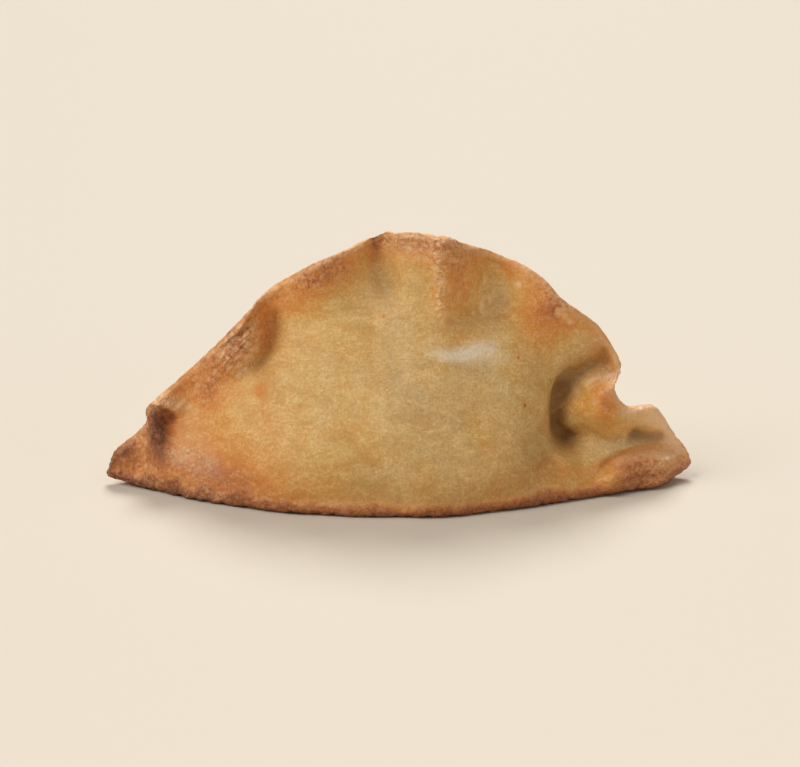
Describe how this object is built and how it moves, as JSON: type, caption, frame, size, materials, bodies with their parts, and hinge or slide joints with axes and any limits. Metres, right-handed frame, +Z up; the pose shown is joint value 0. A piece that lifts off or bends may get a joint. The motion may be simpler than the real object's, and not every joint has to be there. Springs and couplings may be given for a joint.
{
  "type": "empanadilla",
  "caption": "Baked half-moon pastry turnover standing on its flat browned base, with a pinched and pleated seam along the top.",
  "frame": {"origin": "middle of the bounding box at the level of the flat base", "axes": "+X along the length towards the tip with the deep fold, +Y from the front face to the back face, +Z up to the pleated seam"},
  "size_m": [0.127, 0.0492, 0.056],
  "materials": {
    "crust": "baked shortcrust, satin, pale gold with browned folds and base"
  },
  "bodies": {
    "root": {"empanadilla": "crust"}
  },
  "joints": []
}
